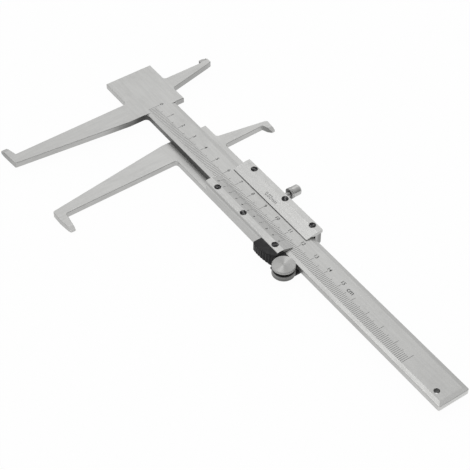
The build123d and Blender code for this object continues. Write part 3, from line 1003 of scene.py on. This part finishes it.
@dataclass
class Surface:
    """A mesh as whole arrays: points, the point of each face corner, and the corners of each face."""

    points: np.ndarray
    corners: np.ndarray
    sizes: np.ndarray

    @classmethod
    def merged(cls, parts: list["Surface"]) -> "Surface":
        """Puts several surfaces into one.

        Args:
            parts: the surfaces.

        Returns:
            One surface with all their faces.
        """
        starts = np.cumsum([0] + [len(part.points) for part in parts[:-1]])
        return cls(
            np.concatenate([part.points for part in parts]),
            np.concatenate([part.corners + start for part, start in zip(parts, starts)]),
            np.concatenate([part.sizes for part in parts]),
        )

    def welded(self) -> "Surface":
        """Joins points that stand on one place, by rounding them to a hundredth of a micrometre."""
        kept, index = np.unique(np.round(self.points, 8), axis=0, return_inverse=True)
        return Surface(kept, index.ravel()[self.corners], self.sizes)

    def piece(self, name: str, material: bpy.types.Material, body: str, slot: str) -> None:
        """Makes the Blender object at the origin, which rides on a body.

        Args:
            name: the piece's name.
            material: its finish.
            body: the body that carries it.
            slot: not used.
        """
        mesh = bpy.data.meshes.new(name)
        mesh.vertices.add(len(self.points))
        mesh.vertices.foreach_set("co", self.points.astype(np.float32).ravel())
        mesh.loops.add(len(self.corners))
        mesh.loops.foreach_set("vertex_index", self.corners.astype(np.int32))
        mesh.polygons.add(len(self.sizes))
        starts = np.concatenate([[0], np.cumsum(self.sizes)[:-1]])
        mesh.polygons.foreach_set("loop_start", starts.astype(np.int32))
        mesh.update(calc_edges=True)
        mesh.validate()
        mesh.materials.append(material)
        made = bpy.data.objects.new(name, mesh)
        bpy.context.scene.collection.objects.link(made)
        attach(made, body)
        log.info("piece %s: %d faces on body %s", name, len(mesh.polygons), body)


@dataclass(frozen=True)
class MarkedFace:
    """A face that carries marks. Across it, its height follows a straight line between two edges."""

    near_y: float
    near_z: float
    far_y: float
    far_z: float
    sink: float = 0.012
    lift: float = 0.008

    @classmethod
    def level(cls, height: float) -> "MarkedFace":
        """A face with one height all over."""
        return cls(0.0, height, 1.0, height)

    def height(self, y: np.ndarray) -> np.ndarray:
        """The face's height at y: the two edges' heights in proportion to the distances, in metres."""
        share = (y - self.near_y) / (self.far_y - self.near_y)
        return self.near_z + share * (self.far_z - self.near_z)

    def laid(self, flat: Surface) -> Surface:
        """Lays a thin flat surface on the face: each point goes to the face's height, plus its own share
        of the mark's thickness, from just under the face to just over it.

        Args:
            flat: a surface whose z is 0 at its bottom and 1 at its top.

        Returns:
            The surface in place.
        """
        points = flat.points.copy()
        own = points[:, 2] * (self.sink + self.lift) * MM - self.sink * MM
        points[:, 2] = self.height(points[:, 1]) + own
        return Surface(points, flat.corners, flat.sizes)


def line_marks(x: np.ndarray, width: float, low: np.ndarray, high: np.ndarray) -> Surface:
    """Straight marks across the scale: each is a unit block, stretched to its width and its two ends.

    Args:
        x: the middle of each mark along the scale.
        width: the width of a mark.
        low: the end of each mark on one side.
        high: the end of each mark on the other side.

    Returns:
        One surface with six faces a mark, z from 0 to 1.
    """
    unit = np.array([(i, j, k) for k in (0, 1) for j in (0, 1) for i in (0, 1)], float)
    corner = np.stack([x - width / 2, low, np.zeros_like(x)], axis=1)
    extent = np.stack([np.full_like(x, width), high - low, np.ones_like(x)], axis=1)
    points = corner[:, None, :] + unit[None, :, :] * extent[:, None, :]
    faces = np.array([(0, 2, 3, 1), (4, 5, 7, 6), (0, 1, 5, 4), (1, 3, 7, 5), (3, 2, 6, 7), (2, 0, 4, 6)])
    corners = (faces[None, :, :] + 8 * np.arange(len(x))[:, None, None]).ravel()
    return Surface(points.reshape(-1, 3), corners, np.full(len(x) * 6, 4))


def figure_marks(text: str, height: float, x: float, y: float, stroke: float) -> Surface:
    """Letters or digits as a thin solid: the outline filled at z 0 and z 1, with walls between.

    Args:
        text: what is written.
        height: the height of a digit.
        x: the middle of the text along the scale.
        y: the middle of the text across the scale.
        stroke: how far the outline is moved outwards, or inwards where it is negative.

    Returns:
        The surface, z from 0 to 1.
    """
    digit_share, half_thickness = 0.73, 0.5
    curve = bpy.data.curves.new("figure", "FONT")
    curve.body = text
    curve.size = height / digit_share
    curve.align_x = "CENTER"
    curve.align_y = "CENTER"
    curve.extrude = half_thickness
    curve.offset = stroke
    curve.resolution_u = 5
    holder = bpy.data.objects.new("figure", curve)
    bpy.context.scene.collection.objects.link(holder)
    graph = bpy.context.evaluated_depsgraph_get()
    mesh = bpy.data.meshes.new_from_object(holder.evaluated_get(graph))
    points = np.empty(len(mesh.vertices) * 3, np.float32)
    mesh.vertices.foreach_get("co", points)
    corners = np.empty(len(mesh.loops), np.int32)
    mesh.loops.foreach_get("vertex_index", corners)
    sizes = np.empty(len(mesh.polygons), np.int32)
    mesh.polygons.foreach_get("loop_total", sizes)
    bpy.data.objects.remove(holder)
    bpy.data.curves.remove(curve)
    bpy.data.meshes.remove(mesh)
    points = points.reshape(-1, 3).astype(float)
    middle = (points.min(0) + points.max(0)) / 2
    points = points - [middle[0], middle[1], -half_thickness] + [x, y, 0.0]
    return Surface(points, corners, sizes).welded()


@dataclass
class GraduatedBeam:
    """The beam's scale: a line each millimetre, longer ones each five and ten, and numbered centimetres."""

    finishes: Finishes
    zero_from_end: float = 227.3
    last_line: int = 200
    last_figure: int = 15
    line_width: float = 0.17
    line_start: float = -6.15
    millimetre_end: float = -1.6
    half_end: float = -0.8
    centimetre_end: float = 0.7
    figure_height: float = 1.9
    figure_middle: float = 1.9
    figure_stroke: float = 0.03
    unit_gap: float = 5.85
    unit_height: float = 2.55
    unit_middle: float = 1.0
    zero: float = field(init=False)
    face: MarkedFace = field(init=False)

    def __post_init__(self) -> None:
        """Reads the places from the frame."""
        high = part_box("beam")[1]
        self.zero = high.x - self.zero_from_end * MM
        self.face = MarkedFace.level(high.z)

    def dress(self) -> None:
        """Gives the beam its finish and adds its scale."""
        dress_node("beam", self.finishes.beam)
        self.lines()
        self.figures()

    def lines(self) -> None:
        """Adds the lines. Each tenth one reaches furthest, and each fifth one further than the rest."""
        count = np.arange(self.last_line + 1)
        end = np.where(
            count % 10 == 0,
            self.centimetre_end,
            np.where(count % 5 == 0, self.half_end, self.millimetre_end),
        )
        start = np.full(len(count), self.line_start * MM)
        marks = line_marks(self.zero + count * MM, self.line_width * MM, start, end * MM)
        self.face.laid(marks).piece("scale_lines", self.finishes.fill, "beam", "black_steel")

    def figures(self) -> None:
        """Adds the numbers of the centimetres, and the unit after the last one."""
        height, middle, stroke = self.figure_height * MM, self.figure_middle * MM, self.figure_stroke * MM
        texts = [(str(number), self.zero + 10 * number * MM) for number in range(self.last_figure + 1)]
        marks = [figure_marks(text, height, x, middle, stroke) for text, x in texts]
        unit_place = (texts[-1][1] + self.unit_gap * MM, self.unit_middle * MM)
        marks.append(figure_marks("cm", self.unit_height * MM, *unit_place, stroke))
        figures = self.face.laid(Surface.merged(marks))
        figures.piece("scale_figures", self.finishes.fill, "beam", "black_steel")


@dataclass
class VernierSlider:
    """The slider's finishes, the vernier's lines and figures, and the value of one division."""

    finishes: Finishes
    divisions: int = 50
    last_figure: int = 10
    covered_length: float = 49.0
    ridge_y: float = -8.9
    lip: float = 0.2
    cover_flat: float = 3.0
    line_width: float = 0.13
    line_start: float = -3.75
    short_end: float = -5.1
    long_end: float = -6.0
    figure_middle: float = -7.3
    figure_height: float = 1.3
    figure_stroke: float = 0.02
    value_x: float = 23.6
    value_y: float = 6.8
    value_height: float = 2.0
    value_stroke: float = -0.015
    bevel: MarkedFace = field(init=False)
    cover: MarkedFace = field(init=False)

    def __post_init__(self) -> None:
        """Reads the plates' edges from the frame."""
        low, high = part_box("vernier_plate")
        self.bevel = MarkedFace(self.ridge_y * MM, high.z, high.y, low.z + self.lip * MM)
        low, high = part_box("cover_plate")
        self.cover = MarkedFace(low.y, low.z + self.lip * MM, high.y - self.cover_flat * MM, high.z)

    def dress(self) -> None:
        """Gives the slider's nodes their finishes and adds its marks."""
        dress_node("slider_frame", self.finishes.slider)
        for name in ("vernier_plate", "cover_plate"):
            dress_node(name, self.finishes.plate)
        for name in ("gib_strip", "roller_spring"):
            dress_node(name, self.finishes.spring)
        dress_node("roller_axle", self.finishes.pin)
        dress_node("thumb_grip", self.finishes.plastic)
        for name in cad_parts:
            if name.startswith("plate_screw"):
                dress_node(name, self.finishes.screw)
        self.lines()
        self.figures()
        self.value()

    def lines(self) -> None:
        """Adds the vernier's lines: fifty equal steps over forty-nine millimetres, from the origin on."""
        count = np.arange(self.divisions + 1)
        end = np.where(count % 5 == 0, self.long_end, self.short_end)
        x = count * self.covered_length / self.divisions * MM
        start = np.full(len(count), self.line_start * MM)
        marks = line_marks(x, self.line_width * MM, end * MM, start)
        self.bevel.laid(marks).piece("vernier_lines", self.finishes.fill, "slider", "black_steel")

    def figures(self) -> None:
        """Adds the vernier's figures, 0 to 9 and 0 again, one at each fifth line."""
        step = self.covered_length / self.last_figure * MM
        height, middle, stroke = self.figure_height * MM, self.figure_middle * MM, self.figure_stroke * MM
        marks = [
            figure_marks(str(number % 10), height, number * step, middle, stroke)
            for number in range(self.last_figure + 1)
        ]
        figures = self.bevel.laid(Surface.merged(marks))
        figures.piece("vernier_figures", self.finishes.fill, "slider", "black_steel")

    def value(self) -> None:
        """Adds the value of one vernier division to the cover plate."""
        place = (self.value_x * MM, self.value_y * MM)
        marks = figure_marks("0.02mm", self.value_height * MM, *place, self.value_stroke * MM)
        self.cover.laid(marks).piece("division_value", self.finishes.fill, "slider", "black_steel")


@dataclass
class TurnedControls:
    """The thumb roller and the lock screw with its thread."""

    finishes: Finishes
    core_share: float = 0.8
    thread_radius: float = 1.2
    thread_depth: float = 0.16
    thread_pitch: float = 0.45
    around: int = 36
    per_turn: int = 10
    wall_y: float = 12.75
    collar_y: float = 17.1

    def dress(self) -> None:
        """Gives both controls their finish and adds the thread."""
        dress_node("thumb_roller", self.finishes.roller)
        dress_node("lock_screw", self.finishes.knob)
        self.thread()

    def thread(self) -> None:
        """Adds the thread between the wall and the collar. Its radius is the thread's own plus the depth
        times a triangle wave of the length y over the pitch minus the angle over a full turn. Two rings
        at a smaller radius close it towards the shank."""
        low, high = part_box("lock_screw")
        middle = (low + high) / 2
        turns = (self.collar_y - self.wall_y) / self.thread_pitch
        along = np.linspace(self.wall_y, self.collar_y, int(turns * self.per_turn) + 1)
        turn = np.linspace(0.0, 2 * math.pi, self.around, endpoint=False)
        angle, y = np.meshgrid(turn, along)
        phase = np.mod(y / self.thread_pitch - angle / (2 * math.pi), 1.0)
        radius = self.thread_radius + self.thread_depth * (1.0 - np.abs(2.0 * phase - 1.0))
        core = np.full((1, self.around), self.thread_radius * self.core_share)
        radius = np.concatenate([core, radius, core])
        angle = np.concatenate([angle[:1], angle, angle[:1]])
        y = np.concatenate([y[:1], y, y[-1:]])
        across = middle.x + radius * np.cos(angle) * MM
        upwards = middle.z + radius * np.sin(angle) * MM
        points = np.stack([across, y * MM, upwards], axis=2)
        rows, columns = radius.shape
        row, column = np.meshgrid(np.arange(rows), np.arange(columns), indexing="ij")
        following = (row + 1) % rows
        beside = (column + 1) % columns
        corners = np.stack(
            [
                row * columns + column,
                following * columns + column,
                following * columns + beside,
                row * columns + beside,
            ],
            axis=2,
        )
        sizes = np.full(rows * columns, 4)
        thread = Surface(points.reshape(-1, 3), corners.ravel(), sizes)
        thread.piece("lock_thread", self.finishes.knob, "lock_screw", "turned_steel")


@dataclass(frozen=True)
class PhotoCamera:
    """The camera that takes the photograph's view."""

    place: Triple = (400.82, -280.66, 476.01)
    azimuth: float = -35.23
    elevation: float = 46.205
    roll: float = 0.095
    lens: float = 107.17
    sensor: float = 36.0
    nearest: float = 0.01
    furthest: float = 50.0

    def build(self) -> None:
        """Adds the camera: its back points along azimuth and elevation, and its right and up vectors are
        turned about it by the roll."""
        back = direction(self.azimuth, self.elevation)
        level = (-back).cross(Vector((0, 0, 1))).normalized()
        upright = level.cross(-back)
        roll = math.radians(self.roll)
        right = level * math.cos(roll) + upright * math.sin(roll)
        up = upright * math.cos(roll) - level * math.sin(roll)
        data = bpy.data.cameras.new("camera")
        data.lens = self.lens
        data.sensor_width = self.sensor
        data.clip_start = self.nearest
        data.clip_end = self.furthest
        camera = bpy.data.objects.new("camera", data)
        bpy.context.scene.collection.objects.link(camera)
        turned = Matrix((right, up, back)).transposed().to_4x4()
        camera.matrix_world = Matrix.Translation(Vector(self.place) * MM) @ turned
        bpy.context.scene.camera = camera


@dataclass(frozen=True)
class SoftBox:
    """A rectangular lamp that shines on the origin from a direction."""

    name: str
    azimuth: float
    elevation: float
    distance: float
    size: float
    power: float

    def build(self) -> None:
        """Adds the lamp, which the camera doesn't see."""
        away = direction(self.azimuth, self.elevation)
        data = bpy.data.lights.new(self.name, "AREA")
        data.shape = "SQUARE"
        data.size = self.size
        data.energy = self.power
        lamp = bpy.data.objects.new(self.name, data)
        bpy.context.scene.collection.objects.link(lamp)
        lamp.location = away * self.distance
        lamp.rotation_mode = "QUATERNION"
        lamp.rotation_quaternion = away.to_track_quat("Z", "Y")
        lamp.visible_camera = False


@dataclass(frozen=True)
class Studio:
    """A light tent that is bright behind the object and dim in front of it, with soft lamps and a white
    table."""

    lamps: tuple[SoftBox, ...] = (
        SoftBox("back_softbox", azimuth=139.0, elevation=40.0, distance=1.6, size=0.9, power=0.9),
        SoftBox("left_softbox", azimuth=192.0, elevation=50.0, distance=1.6, size=0.8, power=0.25),
        SoftBox("top_softbox", azimuth=187.0, elevation=76.0, distance=1.6, size=0.6, power=2.2),
    )
    bright_azimuth: float = 175.0
    bright_elevation: float = 50.0
    sky_middle: float = 0.49
    sky_slope: float = 0.38
    floor_side: float = 3.0
    floor_drop: float = 0.02
    floor_grey: float = 0.9
    seen_white: float = 0.97
    mirrored_white: float = 0.8

    def build(self) -> None:
        """Adds the world, the lamps and the floor."""
        self.world()
        for lamp in self.lamps:
            lamp.build()
        self.floor()
        bpy.context.scene.view_settings.view_transform = "Standard"

    def world(self) -> None:
        """A sky whose strength is the middle value plus the slope times the cosine of the angle to its
        bright side, and plain white where the camera sees it."""
        world = bpy.data.worlds.new("surroundings")
        world.use_nodes = True
        bpy.context.scene.world = world
        graph = NodeGraph(world.node_tree)
        graph.tree.nodes.clear()
        cosine = graph.add("ShaderNodeVectorMath", operation="DOT_PRODUCT")
        graph.join(graph.add("ShaderNodeTexCoord").outputs["Generated"], cosine.inputs[0])
        cosine.inputs[1].default_value = direction(self.bright_azimuth, self.bright_elevation)
        tent = graph.math("MULTIPLY_ADD", cosine.outputs["Value"], self.sky_slope, self.sky_middle)
        seen = graph.add("ShaderNodeLightPath").outputs["Is Camera Ray"]
        strength = graph.between(seen, graph.math("MAXIMUM", tent, 0.0), 1.0)
        sky = graph.add("ShaderNodeBackground")
        graph.join(strength, sky.inputs["Strength"])
        sky.inputs["Color"].default_value = (1.0, 1.0, 1.0, 1.0)
        graph.join(sky.outputs[0], graph.add("ShaderNodeOutputWorld").inputs["Surface"])

    def floor(self) -> None:
        """A pale floor, nearly plain white to the camera, white in part in reflections and open from
        below."""
        half = self.floor_side / 2
        corners = [(-half, -half), (half, -half), (half, half), (-half, half)]
        mesh = bpy.data.meshes.new("floor")
        mesh.from_pydata([(x, y, -self.floor_drop * MM) for x, y in corners], [], [(0, 1, 2, 3)])
        floor = bpy.data.objects.new("floor", mesh)
        bpy.context.scene.collection.objects.link(floor)
        material = bpy.data.materials.new("floor")
        material.use_nodes = True
        graph = NodeGraph(material.node_tree)
        graph.tree.nodes.clear()
        cloth = graph.add("ShaderNodeBsdfDiffuse")
        cloth.inputs["Color"].default_value = (self.floor_grey,) * 3 + (1.0,)
        white = graph.add("ShaderNodeEmission")
        path = graph.add("ShaderNodeLightPath")
        seen = graph.math("MULTIPLY", path.outputs["Is Camera Ray"], self.seen_white)
        share = graph.math("MULTIPLY_ADD", path.outputs["Is Glossy Ray"], self.mirrored_white, seen)
        lit = graph.add("ShaderNodeMixShader")
        graph.join(share, lit.inputs[0])
        graph.join(cloth.outputs[0], lit.inputs[1])
        graph.join(white.outputs[0], lit.inputs[2])
        sided = graph.add("ShaderNodeMixShader")
        graph.join(graph.add("ShaderNodeNewGeometry").outputs["Backfacing"], sided.inputs[0])
        graph.join(lit.outputs[0], sided.inputs[1])
        graph.join(graph.add("ShaderNodeBsdfTransparent").outputs[0], sided.inputs[2])
        graph.join(sided.outputs[0], graph.add("ShaderNodeOutputMaterial").inputs["Surface"])
        mesh.materials.append(material)


def main() -> None:
    """Builds every sub-assembly, the studio and the camera."""
    logging.basicConfig(level=logging.INFO, format="%(name)s: %(message)s")
    finishes = Finishes(Effects())
    GraduatedBeam(finishes).dress()
    VernierSlider(finishes).dress()
    TurnedControls(finishes).dress()
    Studio().build()
    PhotoCamera().build()


if __name__ == "__main__":
    main()
